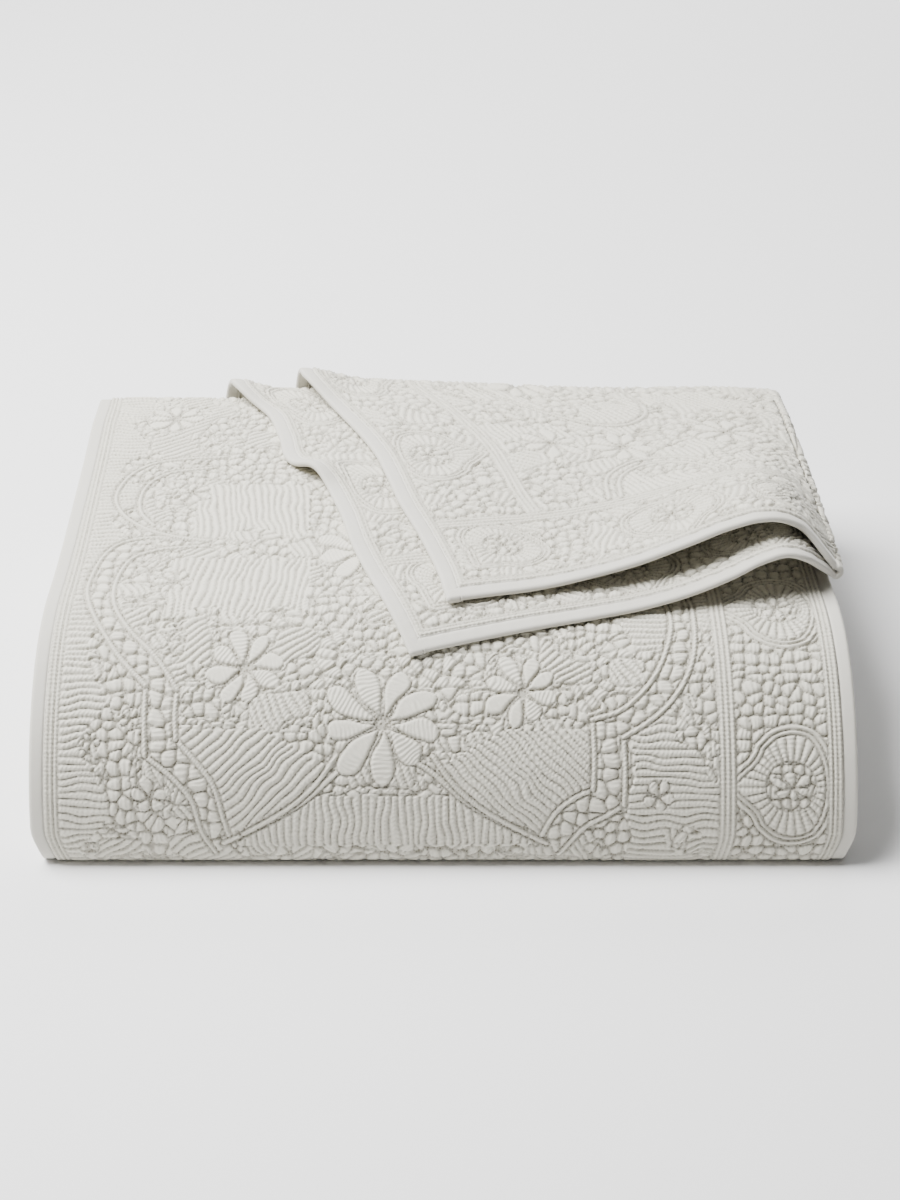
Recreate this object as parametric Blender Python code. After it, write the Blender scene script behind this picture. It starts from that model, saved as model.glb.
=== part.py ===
"""Quilted coverlet, folded into a bundle with its loose end turned over on top.

Units are metres and +Z is up. The bundle lies on Z = 0 with its rounded front fold at -Y,
and the origin is below the middle of it. Inside the file the fold is drawn from the front:
x = 0 is the middle of the width and a depth of 0 is the frontmost point, and TO_CENTRE
moves everything to the origin.
"""
import math

import bmesh
import bpy
import numpy as np

# Cloth
WIDTH = 0.620               # across the bundle, binding to binding
CLOTH_THICK = 0.0062        # top, wadding and backing, quilted together
FLAP_THICK = 0.0052         # the loose end, pulled a little flatter
BINDING_WIDTH = 0.012
BINDING_THICK = 0.0050
SEAM_GAP = 0.0004           # between the cloth and its binding

# Bundle
BUNDLE_HEIGHT = 0.153
LAYER_COUNT = 17            # layers under the outer wrap
BACK_LAYER = 11             # the layer that comes out at the back as the loose end
TO_CENTRE = (-0.00125, -0.2553, 0.0)
PITCH = (BUNDLE_HEIGHT - CLOTH_THICK) / LAYER_COUNT
FOLD_SEGMENTS = 4
TURN_SEGMENTS = 6

# Front fold: a superellipse above, a small ellipse below
FRONT_DEPTH = 0.145
FRONT_POWER = 1.9
FRONT_LOW_HEIGHT = 0.016
FRONT_LOW_DEPTH = 0.011
FRONT_SEGMENTS = 12
LAYER_CLEARANCE = 0.0015

# Unevenness: the top crowns behind the front fold, and sinks under the loose end
CROWN = 0.040
CROWN_FROM, CROWN_TO = 0.10, 0.30
SINK = 0.070
SINK_FROM, SINK_TO = -0.10, 0.20
DROOP = 0.030
DROOP_FROM, DROOP_TO = 0.41, 0.47
LAYER_STATIONS = (0.12, 0.175, 0.25, 0.41)
X_STATIONS = (-1.0, -0.30, 0.16, 0.62, 1.0)

# One row for each layer from the floor up: how far its back end and its front end stay
# short of the bundle's, how far its two side edges draw in, and how far it drifts sideways
LAYER_COLUMNS = ("back_short", "front_short", "draw_in", "drift")
LAYER_ROWS = (
    (0.004, 0.000, 0.0080, 0.0000),
    (0.004, 0.006, 0.0050, -0.0015),
    (0.001, 0.006, 0.0030, 0.0010),
    (0.001, 0.003, 0.0045, 0.0020),
    (0.005, 0.003, 0.0020, -0.0010),
    (0.005, 0.008, 0.0035, 0.0010),
    (0.002, 0.008, 0.0050, -0.0020),
    (0.002, 0.002, 0.0025, 0.0005),
    (0.070, 0.002, 0.0040, 0.0015),
    (0.070, 0.005, 0.0045, -0.0010),
    (0.035, 0.005, 0.0030, 0.0020),
    (0.040, 0.004, 0.0070, -0.0010),
    (0.001, 0.004, 0.0080, -0.0030),
    (0.001, 0.007, 0.0105, -0.0025),
    (0.003, 0.007, 0.0110, -0.0045),
    (0.003, 0.003, 0.0150, -0.0050),
    (0.012, 0.003, 0.0160, -0.0065),
)
STACK_BACK = 0.490

# The outer wrap's side edges: depth on top, draw-in and drift there
WRAP_COLUMNS = ("depth", "draw_in", "drift")
WRAP_ROWS = (
    (0.000, 0.0010, 0.0000),
    (0.080, 0.0035, -0.0005),
    (0.200, 0.0085, -0.0005),
    (0.330, 0.0135, -0.0040),
    (0.440, 0.0155, -0.0065),
)
WRAP_FOOT_DRAW_IN = 0.0080

# Loose end, in plan: x and depth of its corners, skewed on the bundle
LOWER_CORNER = (-0.0251, 0.0750)
UPPER_CORNER = (0.0026, 0.1190)
FOLD_FRONT_X, FOLD_BACK_X = 0.3090, 0.2885
FOLD_FRONT = 0.173          # where the front edge goes round the fold
FOLD_CURL = 0.030           # stretch beside the fold where the front edge bends
FOLD_SHIFT = 0.013          # how far it bends back there, on each of the two cloths
FOLD_BEND = 0.0042          # radius of the turned fold, to the middle of the cloth
REST_GAP = 0.0018           # between the loose end and what it lies on

# Side edges of the loose end, wandering back and to the left over the bundle
EDGE_COLUMNS = ("depth", "lower_x", "upper_x")
EDGE_ROWS = (
    (0.075, -0.0251, 0.0160),
    (0.119, -0.0425, 0.0026),
    (0.156, -0.0567, -0.0050),
    (0.206, -0.0725, -0.0190),
    (0.262, -0.0860, -0.0375),
    (0.300, -0.1000, -0.0470),
    (0.335, -0.1275, -0.0565),
    (0.385, -0.1400, -0.0775),
    (0.430, -0.1540, -0.1010),
    (0.470, -0.1830, -0.1235),
    (0.560, -0.2000, -0.1400),
    (0.700, -0.2050, -0.1450),
)

# Loose end, round the back of the bundle and in between its layers
BACK_CORNER = 0.020
BACK_WALL = STACK_BACK + 0.0006
SLOT_BEND = 0.0018
TUCK_LENGTH = 0.058
BINDING_TUCK = 0.034        # how much less of the tuck the edge bindings have
TOP_ROWS = 19
LOWER_COLUMNS = 12
UPPER_COLUMNS = 12

# The wave beside the turned fold: distance from the fold, lift of the lower and the upper cloth
WAVE_COLUMNS = ("from_fold", "lower_lift", "upper_lift")
WAVE_ROWS = (
    (0.0000, 0.0000, 0.0000),
    (0.0125, 0.0125, 0.0160),
    (0.0240, 0.0242, 0.0290),
    (0.0400, 0.0315, 0.0390),
    (0.0620, 0.0280, 0.0425),
    (0.0840, 0.0190, 0.0385),
    (0.1200, 0.0080, 0.0265),
    (0.1550, 0.0020, 0.0150),
    (0.1950, 0.0000, 0.0060),
    (0.2500, 0.0000, 0.0000),
)
WAVE_BACK = 0.10            # what is left of the wave at the back
WAVE_FADE = 0.22            # depth over which it dies down

# Bumps of the loose end's side edges: which cloth, x, depth, spread in x and depth, lift
BUMP_COLUMNS = ("cloth", "x", "depth", "spread_x", "spread_depth", "lift")
BUMP_ROWS = (
    ("lower", -0.108, 0.312, 0.022, 0.020, 0.0105),
    ("lower", -0.183, 0.468, 0.025, 0.032, 0.0105),
    ("upper", -0.122, 0.465, 0.034, 0.038, 0.0120),
)

# Colours and finish
CLOTH_COLOUR = (0.72, 0.71, 0.67, 1.0)
BINDING_COLOUR = (0.74, 0.73, 0.69, 1.0)
CLOTH_ROUGHNESS = 0.9


def smooth_step(value, start, end):
    """0 before start, 1 after end, and an S between."""
    t = np.clip((value - start) / (end - start), 0.0, 1.0)
    return t * t * (3.0 - 2.0 * t)


def smooth_table(value, columns, rows, x_name, y_name):
    """A smooth curve through one column of a table, read against another column."""
    xs = np.array([row[columns.index(x_name)] for row in rows])
    ys = np.array([row[columns.index(y_name)] for row in rows])
    slopes = np.gradient(ys, xs)
    slopes[-1] = 0.0
    value = np.clip(value, xs[0], xs[-1])
    i = np.clip(np.searchsorted(xs, value, side="right") - 1, 0, len(xs) - 2)
    step = xs[i + 1] - xs[i]
    t = (value - xs[i]) / step
    rise = ys[i] * (2 * t ** 3 - 3 * t ** 2 + 1) + ys[i + 1] * (3 * t ** 2 - 2 * t ** 3)
    lean = slopes[i] * (t ** 3 - 2 * t ** 2 + t) + slopes[i + 1] * (t ** 3 - t ** 2)
    return rise + lean * step


def uneven(height, x, depth):
    """A height in the bundle with its crown and its sink; the layer on the floor stays flat."""
    crown = 1.0 + CROWN * smooth_step(depth, CROWN_FROM, CROWN_TO)
    sink = 1.0 - SINK * smooth_step(x, SINK_FROM, SINK_TO) * smooth_step(depth, 0.06, 0.20)
    droop = 1.0 - DROOP * smooth_step(depth, DROOP_FROM, DROOP_TO)
    floor_layer = CLOTH_THICK / 2
    return floor_layer + (height - floor_layer) * crown * sink * droop


def front_outline(angle):
    """Outer face of the front fold, from the top (angle 0) down to the bulge (pi / 2)."""
    power = 2.0 / FRONT_POWER
    depth = FRONT_DEPTH * (1.0 - np.sin(angle) ** power)
    height = FRONT_LOW_HEIGHT + (BUNDLE_HEIGHT - FRONT_LOW_HEIGHT) * np.cos(angle) ** power
    return depth, height


def offset_line(depth, height, distance):
    """A section line moved sideways: to its left, looking along it, where distance > 0."""
    d_depth = np.gradient(depth)
    d_height = np.gradient(height)
    length = np.hypot(d_depth, d_height)
    return depth - d_height / length * distance, height + d_depth / length * distance


def layer_value(layer, name):
    """One named value of a layer's row; layer 1 lies on the floor."""
    return LAYER_ROWS[layer - 1][LAYER_COLUMNS.index(name)]


def layer_height(layer):
    """Height of the middle of a layer; the outer wrap counts as the layer above the last."""
    return CLOTH_THICK / 2 + (layer - 1) * PITCH


def front_limit():
    """Depth and height of the line that the layers' front folds may reach."""
    angle = np.linspace(math.pi / 2, 0.0, 200)
    depth, height = front_outline(angle)
    return offset_line(depth, height, -(CLOTH_THICK + LAYER_CLEARANCE))


def fold_end(layer, side):
    """Depth of the centre of the fold between a layer and the next one up."""
    reach = PITCH / 2 + CLOTH_THICK / 2
    if side == "back":
        return STACK_BACK - layer_value(layer, "back_short") - reach
    depth, height = front_limit()
    top = min(layer_height(layer + 1) + CLOTH_THICK / 2, height.max() - 1e-5)
    return np.interp(top, height, depth) + layer_value(layer, "front_short") + reach


def fold_arc(layer, side):
    """The points of one fold, from its layer to the next one up."""
    centre_height = layer_height(layer) + PITCH / 2
    centre_depth = fold_end(layer, side)
    turn = np.linspace(-math.pi / 2, math.pi / 2, FOLD_SEGMENTS + 1)
    way = 1.0 if side == "back" else -1.0
    depth = centre_depth + way * np.cos(turn) * PITCH / 2
    height = centre_height + np.sin(turn) * PITCH / 2
    above = min(layer + 1, LAYER_COUNT)
    draw_in = (layer_value(layer, "draw_in") + layer_value(above, "draw_in")) / 2
    drift = (layer_value(layer, "drift") + layer_value(above, "drift")) / 2
    return [(d, h, draw_in, drift) for d, h in zip(depth, height)]


def middle_of_layer(layer):
    """The same depths on every layer, so that the crown and the sink show alike in all."""
    front = fold_end(layer if layer % 2 == 0 else max(layer - 1, 1), "front")
    row = []
    for depth in LAYER_STATIONS:
        if depth > front + CLOTH_THICK:
            row.append((depth, layer_height(layer), layer_value(layer, "draw_in"),
                        layer_value(layer, "drift")))
    return row


def wrap_points():
    """The outer wrap, from the back of the top, over the front fold, to the floor."""
    top = BUNDLE_HEIGHT
    line = [(depth, top) for depth in (0.43, 0.36, 0.29, 0.22, 0.18)]
    angle = np.linspace(0.0, math.pi / 2, FRONT_SEGMENTS + 1)
    line += list(zip(*front_outline(angle)))
    low = np.linspace(0.0, math.pi / 2, 6)[1:]
    for turn in low:
        line.append((FRONT_LOW_DEPTH * (1 - math.cos(turn)),
                     FRONT_LOW_HEIGHT * (1 - math.sin(turn))))
    line = [(max(depth, 0.0), height) for depth, height in line] + [(0.06, 0.0)]
    depth, height = np.array(line).T
    depth, height = offset_line(depth, height, CLOTH_THICK / 2)
    height = np.where(np.arange(len(height)) >= len(height) - 2, CLOTH_THICK / 2, height)
    height = np.where(np.arange(len(height)) < 5, top - CLOTH_THICK / 2, height)
    draw_in = smooth_table(depth, WRAP_COLUMNS, WRAP_ROWS, "depth", "draw_in")
    drift = smooth_table(depth, WRAP_COLUMNS, WRAP_ROWS, "depth", "drift")
    foot = 1.0 - smooth_step(height, CLOTH_THICK / 2, 2 * FRONT_LOW_HEIGHT)
    draw_in = draw_in + foot * (WRAP_FOOT_DRAW_IN - draw_in)
    return [tuple(row) for row in zip(depth, height, draw_in, drift * (1.0 - foot))]


def bundle_section():
    """The whole back-and-forth line of the cloth: depth, height, draw-in and drift."""
    start = BACK_LAYER + 1
    line = [(STACK_BACK - layer_value(start, "back_short"), layer_height(start),
             layer_value(start, "draw_in"), layer_value(start, "drift"))]
    for layer in range(start, LAYER_COUNT + 1):
        goes_forward = (layer - start) % 2 == 0
        middle = middle_of_layer(layer)
        line += middle[::-1] if goes_forward else middle
        line += fold_arc(layer, "front" if goes_forward else "back")
    line += wrap_points()
    for layer in range(1, BACK_LAYER):
        goes_back = layer % 2 == 1
        middle = middle_of_layer(layer)
        line += middle if goes_back else middle[::-1]
        line += fold_arc(layer, "back" if goes_back else "front")
    line += middle_of_layer(BACK_LAYER)
    line.append((STACK_BACK - layer_value(BACK_LAYER, "back_short"), layer_height(BACK_LAYER),
                 layer_value(BACK_LAYER, "draw_in"), layer_value(BACK_LAYER, "drift")))
    return np.array(line)


def bundle_grid(section, across):
    """Places and normals of the section at some shares of half the width, left to right."""
    depth, height, draw_in, drift = section.T
    off_depth, off_height = offset_line(depth, height, 1.0)
    places = np.zeros((len(depth), len(across), 3))
    normals = np.zeros_like(places)
    for column, (share, inset) in enumerate(across):
        x = share * (WIDTH / 2 - draw_in) + inset + drift
        places[:, column, 0] = x
        places[:, column, 1] = depth
        places[:, column, 2] = uneven(height, x, depth)
        normals[:, column, 1] = off_depth - depth
        normals[:, column, 2] = off_height - height
    return places, normals


def rest_line():
    """What the loose end lies on: along the top, round the back and into the slot there.

    Returns the run along it, its depth and height, and the direction that points off it.
    """
    angle = np.linspace(math.pi / 2 - 0.25, 0.0, 40)
    depth, height = front_outline(angle)
    depth = list(depth)
    height = list(height)
    for step in np.linspace(FRONT_DEPTH, BACK_WALL - BACK_CORNER, 30)[1:]:
        depth.append(step)
        height.append(BUNDLE_HEIGHT)
    for turn in np.linspace(0.0, math.pi / 2, 12)[1:]:
        depth.append(BACK_WALL - BACK_CORNER + BACK_CORNER * math.sin(turn))
        height.append(BUNDLE_HEIGHT - BACK_CORNER + BACK_CORNER * math.cos(turn))
    slot = layer_height(BACK_LAYER) + FLAP_THICK / 2 + REST_GAP
    for turn in np.linspace(0.0, math.pi / 2, 7):
        depth.append(BACK_WALL - SLOT_BEND * (1 - math.cos(turn)))
        height.append(slot + SLOT_BEND * (1 - math.sin(turn)))
    depth.append(BACK_WALL - SLOT_BEND - TUCK_LENGTH)
    height.append(slot)
    depth = np.array(depth)
    height = np.array(height)
    run = np.concatenate([[0.0], np.cumsum(np.hypot(np.diff(depth), np.diff(height)))])
    off_depth, off_height = offset_line(depth, height, 1.0)
    run += FRONT_DEPTH - np.interp(FRONT_DEPTH, depth[:40], run[:40])
    return run, depth, height, off_depth - depth, off_height - height


REST_LINE = rest_line()
RUN_END = REST_LINE[0][-1]
RUN_CORNER = BACK_WALL - BACK_CORNER
RUN_WALL = RUN_CORNER + BACK_CORNER * math.pi / 2
RUN_TUCK = RUN_END - TUCK_LENGTH
RUN_SLOT = RUN_TUCK - SLOT_BEND * math.pi / 2


def bump_lift(cloth, x, depth):
    """Extra lift of one cloth of the loose end from the bumps of its side edge."""
    lift = 0.0
    for row in BUMP_ROWS:
        bump = dict(zip(BUMP_COLUMNS, row))
        if bump["cloth"] == cloth:
            away = ((x - bump["x"]) / bump["spread_x"]) ** 2
            away = away + ((depth - bump["depth"]) / bump["spread_depth"]) ** 2
            lift = lift + bump["lift"] * np.exp(-away)
    return lift


def fold_x(run):
    """x of the turned fold at a place along the loose end."""
    share = np.clip((run - FOLD_FRONT) / (RUN_WALL - FOLD_FRONT), 0.0, 1.0)
    return FOLD_FRONT_X + (FOLD_BACK_X - FOLD_FRONT_X) * share


def wave(run, front, x, name):
    """Lift of the wave beside the turned fold."""
    fade = WAVE_BACK + (1 - WAVE_BACK) * (1 - smooth_step(run - front, 0.0, WAVE_FADE))
    fade = fade * (1 - smooth_step(run, RUN_CORNER - 0.01, RUN_WALL))
    return fade * smooth_table(fold_x(run) - x, WAVE_COLUMNS, WAVE_ROWS, "from_fold", name)


def flap_place(x, run, lift):
    """A place of the loose end from its x, its run along the rest line and its lift."""
    runs, depth, height, off_depth, off_height = REST_LINE
    base_depth = np.interp(run, runs, depth)
    base_height = np.interp(run, runs, height)
    away_depth = np.interp(run, runs, off_depth)
    away_height = np.interp(run, runs, off_height)
    length = math.hypot(away_depth, away_height)
    z = uneven(base_height, x, base_depth) + away_height / length * lift
    return (x, base_depth + away_depth / length * lift, z)


def flap_run(front, along):
    """Run along the rest line: 0 is the front edge, 1 the back corner, 2 the tucked end.

    Near the front edge the steps are alike all across, so that its binding keeps its width.
    """
    if along <= 1.0:
        steps = RUN_CORNER - FOLD_FRONT
        return front + along * steps + along ** 2 * (RUN_CORNER - front - steps)
    return RUN_CORNER + (along - 1.0) * (RUN_END - RUN_CORNER)


def flap_point(across, along):
    """A place in the middle of the loose end's cloth.

    across runs from 0 at the lower cloth's side edge, through 1 at the start of the turned
    fold and 2 at its end, to 3 at the upper cloth's side edge; along is as in flap_run.
    """
    lower_rest = REST_GAP + FLAP_THICK / 2
    upper_rest = lower_rest + 2 * FOLD_BEND
    if 1.0 < across < 2.0:
        turn = (across - 1.0) * math.pi
        run = flap_run(FOLD_FRONT, along)
        x = fold_x(run) - FOLD_BEND + FOLD_BEND * math.sin(turn)
        return flap_place(x, run, lower_rest + FOLD_BEND * (1 - math.cos(turn)))
    upper = across >= 2.0
    corner = UPPER_CORNER if upper else LOWER_CORNER
    share = (3.0 - across) if upper else across
    shift = FOLD_SHIFT if upper else -FOLD_SHIFT
    edge_run = flap_run(corner[1], along)
    edge_x = smooth_table(edge_run, EDGE_COLUMNS, EDGE_ROWS, "depth",
                          "upper_x" if upper else "lower_x")
    width = fold_x(flap_run(FOLD_FRONT, along)) - FOLD_BEND - edge_x
    front_width = FOLD_FRONT_X - FOLD_BEND - corner[0]
    x = edge_x + share * front_width + share ** 2 * (width - front_width)
    front = corner[1] + share * (FOLD_FRONT + shift - corner[1])
    front -= shift * smooth_step(x, FOLD_FRONT_X - FOLD_BEND - FOLD_CURL,
                                 FOLD_FRONT_X - FOLD_BEND)
    run = flap_run(front, along)
    lift = wave(run, front, x + FOLD_BEND, "lower_lift") + bump_lift("lower", x, run)
    if not upper:
        return flap_place(x, run, lower_rest + lift)
    lift = max(lift, wave(run, front, x + FOLD_BEND, "upper_lift"))
    return flap_place(x, run, upper_rest + lift + bump_lift("upper", x, run))


def flap_normal(across, along):
    """The direction off the loose end's cloth at one place."""
    step = 1e-4
    ends = []
    for d_across, d_along in ((step, 0.0), (0.0, step)):
        high = flap_point(min(across + d_across, 3.0), min(along + d_along, 2.0))
        low = flap_point(max(across - d_across, 0.0), max(along - d_along, 0.0))
        ends.append(np.subtract(high, low))
    normal = np.cross(ends[0], ends[1])
    return normal / np.linalg.norm(normal)


def flap_grid(across_values, along_values):
    """Places and normals of the loose end, one row for each value along it."""
    places = [[flap_point(across, along) for across in across_values]
              for along in along_values]
    normals = [[flap_normal(across, along) for across in across_values]
               for along in along_values]
    return np.array(places), np.array(normals)


def sheet_mesh(name, places, normals, thick):
    """A closed sheet: its middle surface moved to both sides, with walls round the edge.

    The walls of all sheets are cut into triangles the same way, so that neighbours match.
    """
    mesh = bpy.data.meshes.new(name)
    shape = bmesh.new()
    faces = []
    for side in (0.5, -0.5):
        moved = places + side * thick * normals + TO_CENTRE
        moved[:, :, 2] = np.maximum(moved[:, :, 2], 0.0)
        faces.append([[shape.verts.new(place) for place in row] for row in moved])
    top, under = faces
    for skin in faces:
        for low, high in zip(skin, skin[1:]):
            for i in range(len(low) - 1):
                shape.faces.new((low[i], low[i + 1], high[i + 1], high[i]))
    rims = [(top[row], under[row]) for row in (0, -1)]
    rims += [([row[column] for row in top], [row[column] for row in under])
             for column in (0, -1)]
    for upper, lower in rims:
        for i in range(len(upper) - 1):
            shape.faces.new((upper[i], lower[i], lower[i + 1]))
            shape.faces.new((upper[i], lower[i + 1], upper[i + 1]))
    bmesh.ops.recalc_face_normals(shape, faces=shape.faces)
    shape.to_mesh(mesh)
    shape.free()
    return mesh


def fabric(name, colour):
    """A plain matt fabric."""
    material = bpy.data.materials.new(name)
    material.use_nodes = True
    shader = material.node_tree.nodes["Principled BSDF"]
    shader.inputs["Base Color"].default_value = colour
    shader.inputs["Roughness"].default_value = CLOTH_ROUGHNESS
    shader.inputs["Metallic"].default_value = 0.0
    return material


def sheet_object(name, grid, thick, material):
    """A sheet of cloth from the places and normals of its middle surface."""
    piece = bpy.data.objects.new(name, sheet_mesh(name, *grid, thick))
    bpy.context.scene.collection.objects.link(piece)
    piece.data.materials.append(material)
    return piece


def flap_values(lower_from, upper_to):
    """Values across the loose end, from one side edge round the fold to the other."""
    lower = list(np.linspace(lower_from, 1.0, LOWER_COLUMNS))
    turn = [1.0 + i / TURN_SEGMENTS for i in range(1, TURN_SEGMENTS)]
    upper = list(np.linspace(2.0, upper_to, UPPER_COLUMNS))
    return lower + turn + upper


def flap_rows(start, end):
    """Values along the loose end, close together where it turns."""
    length = RUN_END - RUN_CORNER
    top = list(np.linspace(start, 1.0, TOP_ROWS))
    corner = list(1.0 + np.linspace(0.0, RUN_WALL - RUN_CORNER, 6)[1:] / length)
    slot = list(1.0 + np.linspace(RUN_SLOT, RUN_TUCK, 4) / length - RUN_CORNER / length)
    return top + corner + slot + [end]


def build():
    for old in list(bpy.data.objects):
        bpy.data.objects.remove(old, do_unlink=True)

    cloth_finish = fabric("quilted_cotton", CLOTH_COLOUR)
    binding_finish = fabric("plain_binding_cotton", BINDING_COLOUR)

    section = bundle_section()
    edge = BINDING_WIDTH + SEAM_GAP
    stations = [(share, -share * edge if abs(share) == 1.0 else 0.0) for share in X_STATIONS]
    cloth = sheet_object("coverlet_cloth", bundle_grid(section, stations), CLOTH_THICK,
                         cloth_finish)
    for name, share in (("side_binding_left", -1.0), ("side_binding_right", 1.0)):
        strip = [(share, -share * BINDING_WIDTH), (share, 0.0)]
        sheet_object(name, bundle_grid(section, strip), CLOTH_THICK, binding_finish)

    lower_width = FOLD_FRONT_X - LOWER_CORNER[0]
    upper_width = FOLD_FRONT_X - UPPER_CORNER[0]
    lower_band = BINDING_WIDTH / lower_width
    upper_band = BINDING_WIDTH / upper_width
    front_band = BINDING_WIDTH / (RUN_CORNER - FOLD_FRONT)
    rows = flap_rows(edge / (RUN_CORNER - FOLD_FRONT), 2.0)
    across = flap_values(edge / lower_width, 3.0 - edge / upper_width)
    flap = sheet_object("loose_end_guide", flap_grid(across, rows), FLAP_THICK, cloth_finish)
    flap.hide_render = True
    flap.display_type = "WIRE"
    join = cloth.modifiers.new("one_cloth", "BOOLEAN")
    join.operation = "UNION"
    join.solver = "EXACT"
    join.object = flap

    front = [0.0] + across + [3.0]
    sheet_object("loose_end_binding", flap_grid(front, (0.0, front_band)), BINDING_THICK,
                 binding_finish)
    rows[-1] = 2.0 - BINDING_TUCK / (RUN_END - RUN_CORNER)
    sheet_object("lower_edge_binding", flap_grid((0.0, lower_band), rows), BINDING_THICK,
                 binding_finish)
    sheet_object("upper_edge_binding", flap_grid((3.0 - upper_band, 3.0), rows),
                 BINDING_THICK, binding_finish)


build()
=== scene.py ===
import math

import bpy
import numpy as np
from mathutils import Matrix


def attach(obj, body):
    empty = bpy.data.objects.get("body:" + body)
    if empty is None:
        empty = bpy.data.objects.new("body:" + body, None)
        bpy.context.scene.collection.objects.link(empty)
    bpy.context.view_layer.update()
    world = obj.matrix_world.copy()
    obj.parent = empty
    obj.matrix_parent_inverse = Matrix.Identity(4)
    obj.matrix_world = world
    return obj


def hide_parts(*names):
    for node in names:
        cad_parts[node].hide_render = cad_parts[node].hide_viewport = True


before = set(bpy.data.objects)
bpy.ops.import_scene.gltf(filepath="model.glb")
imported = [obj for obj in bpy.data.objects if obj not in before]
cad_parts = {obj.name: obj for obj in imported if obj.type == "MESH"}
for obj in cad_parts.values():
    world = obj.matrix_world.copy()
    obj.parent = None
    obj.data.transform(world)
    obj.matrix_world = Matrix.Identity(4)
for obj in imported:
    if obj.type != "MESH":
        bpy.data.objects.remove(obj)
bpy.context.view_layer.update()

# The folded coverlet: one quilted cotton cloth laid back and forth in layers, with an outer
# wrap over the front. This piece is the cloth itself, top, wadding and backing together;
# the quilted faces that show are laid on it below.
MM = 0.001
WIDTH = 0.620
CLOTH_THICK = 0.0062
BUNDLE_HEIGHT = 0.153
LAYER_COUNT = 17
BACK_LAYER = 11
TO_CENTRE = np.array((-0.00125, -0.2553, 0.0))
PITCH = (BUNDLE_HEIGHT - CLOTH_THICK) / LAYER_COUNT
FRONT_DEPTH = 0.145
FRONT_POWER = 1.9
FRONT_LOW_HEIGHT = 0.016
FRONT_LOW_DEPTH = 0.011
LAYER_CLEARANCE = 0.0015
CROWN, SINK, DROOP = 0.040, 0.070, 0.030   # shares of the height
LAYER_STATIONS = (0.12, 0.175, 0.25, 0.41)
STACK_BACK = 0.490
BINDING_WIDTH = 0.012
FACE_INSET = 0.0016         # how far the plain cloth lies under its quilted faces
LAYER_COLUMNS = ("back_short", "front_short", "draw_in", "drift")
LAYER_ROWS = (
    (0.004, 0.000, 0.0080, 0.0000),
    (0.004, 0.006, 0.0050, -0.0015),
    (0.001, 0.006, 0.0030, 0.0010),
    (0.001, 0.003, 0.0045, 0.0020),
    (0.005, 0.003, 0.0020, -0.0010),
    (0.005, 0.008, 0.0035, 0.0010),
    (0.002, 0.008, 0.0050, -0.0020),
    (0.002, 0.002, 0.0025, 0.0005),
    (0.070, 0.002, 0.0040, 0.0015),
    (0.070, 0.005, 0.0045, -0.0010),
    (0.035, 0.005, 0.0030, 0.0020),
    (0.040, 0.004, 0.0070, -0.0010),
    (0.001, 0.004, 0.0080, -0.0030),
    (0.001, 0.007, 0.0105, -0.0025),
    (0.003, 0.007, 0.0110, -0.0045),
    (0.003, 0.003, 0.0150, -0.0050),
    (0.012, 0.003, 0.0160, -0.0065),
)
WRAP_COLUMNS = ("depth", "draw_in", "drift")
WRAP_ROWS = (
    (0.000, 0.0010, 0.0000),
    (0.080, 0.0035, -0.0005),
    (0.200, 0.0085, -0.0005),
    (0.330, 0.0135, -0.0040),
    (0.440, 0.0155, -0.0065),
)
WRAP_FOOT_DRAW_IN = 0.0080
COTTON = (0.61, 0.585, 0.50, 1.0)
# a painted highlight on the crests of the quilting, between the lines of stitches
COTTON_PAINTED_HIGHLIGHT = (0.72, 0.695, 0.60, 1.0)
# painted shade in the grooves along the lines of stitches and in the stitch holes
COTTON_PAINTED_SHADE = (0.11, 0.095, 0.065, 1.0)
COTTON_CLOUD = (0.645, 0.625, 0.545, 1.0)
COTTON_LOOK = {"Roughness": 0.92, "Sheen Weight": 0.25, "Sheen Roughness": 0.45,
               "Specular IOR Level": 0.15}
HOLE_SCALE = 480.0          # stitch holes per metre
PEBBLE_SCALE = 115.0        # bump cells per metre, on the plain cloth
BINDING_GAP = 0.0003        # between the cloth's cut edge and the binding


def smooth_step(value, start, end):
    t = np.clip((value - start) / (end - start), 0.0, 1.0)
    return t * t * (3.0 - 2.0 * t)


def smooth_table(value, columns, rows, x_name, y_name):
    xs = np.array([row[columns.index(x_name)] for row in rows])
    ys = np.array([row[columns.index(y_name)] for row in rows])
    slopes = np.gradient(ys, xs)
    slopes[-1] = 0.0
    value = np.clip(value, xs[0], xs[-1])
    i = np.clip(np.searchsorted(xs, value, side="right") - 1, 0, len(xs) - 2)
    step = xs[i + 1] - xs[i]
    t = (value - xs[i]) / step
    rise = ys[i] * (2 * t ** 3 - 3 * t ** 2 + 1) + ys[i + 1] * (3 * t ** 2 - 2 * t ** 3)
    lean = slopes[i] * (t ** 3 - 2 * t ** 2 + t) + slopes[i + 1] * (t ** 3 - t ** 2)
    return rise + lean * step


def uneven(height, x, depth):
    """The height once the stack has settled: fuller inside, lower at the right and the back."""
    crown = 1.0 + CROWN * smooth_step(depth, 0.10, 0.30)
    sink = 1.0 - SINK * smooth_step(x, -0.10, 0.20) * smooth_step(depth, 0.06, 0.20)
    droop = 1.0 - DROOP * smooth_step(depth, 0.41, 0.47)
    return CLOTH_THICK / 2 + (height - CLOTH_THICK / 2) * crown * sink * droop


def front_outline(angle):
    power = 2.0 / FRONT_POWER
    depth = FRONT_DEPTH * (1.0 - np.sin(angle) ** power)
    height = FRONT_LOW_HEIGHT + (BUNDLE_HEIGHT - FRONT_LOW_HEIGHT) * np.cos(angle) ** power
    return depth, height


def offset_line(depth, height, distance):
    d_depth = np.gradient(depth)
    d_height = np.gradient(height)
    length = np.hypot(d_depth, d_height)
    return depth - d_height / length * distance, height + d_depth / length * distance


def layer_value(layer, name):
    return LAYER_ROWS[layer - 1][LAYER_COLUMNS.index(name)]


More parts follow.
